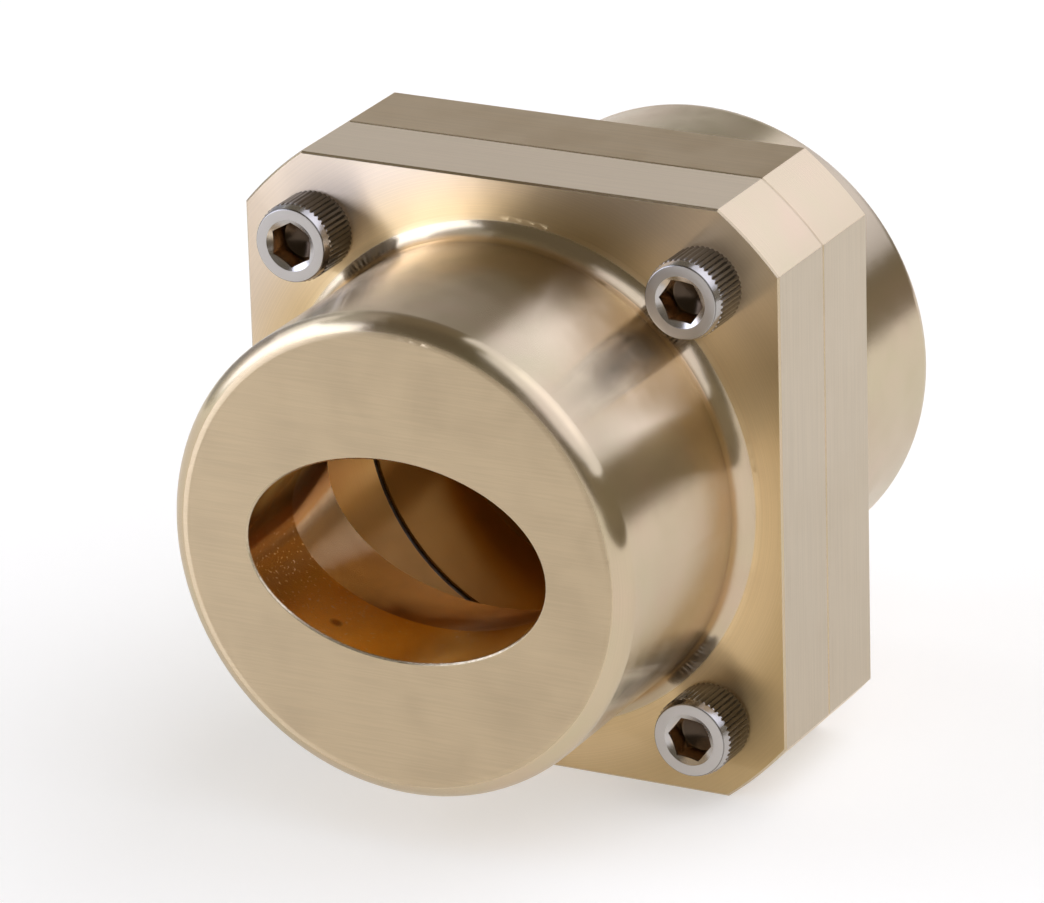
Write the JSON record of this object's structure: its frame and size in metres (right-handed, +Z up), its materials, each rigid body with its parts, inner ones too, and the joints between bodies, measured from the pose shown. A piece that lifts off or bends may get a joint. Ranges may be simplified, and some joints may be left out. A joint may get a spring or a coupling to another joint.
{
  "type": "elliptical waveguide splice",
  "caption": "Brass splice for elliptical waveguide: bolted flanged halves with round bosses, elliptical mouths, a rubber seal ring between them and socket head screws.",
  "frame": {"origin": "centre of the joint plane between the halves, on the waveguide's axis", "axes": "+Y along the waveguide from the front half to the rear half, +X along the mouth's long axis, +Z up along its short axis"},
  "size_m": [0.068, 0.0824, 0.0714],
  "materials": {
    "brass": "turned and milled bare brass, satin faces and bright edges",
    "screw_steel": "bright stainless steel, knurled heads",
    "seal_rubber": "matt black"
  },
  "bodies": {
    "root": {"front_half": "brass", "rear_half": "brass", "seal_ring": "seal_rubber", "screw_top_left": "screw_steel", "screw_top_right": "screw_steel", "screw_bottom_left": "screw_steel", "screw_bottom_right": "screw_steel"}
  },
  "joints": []
}
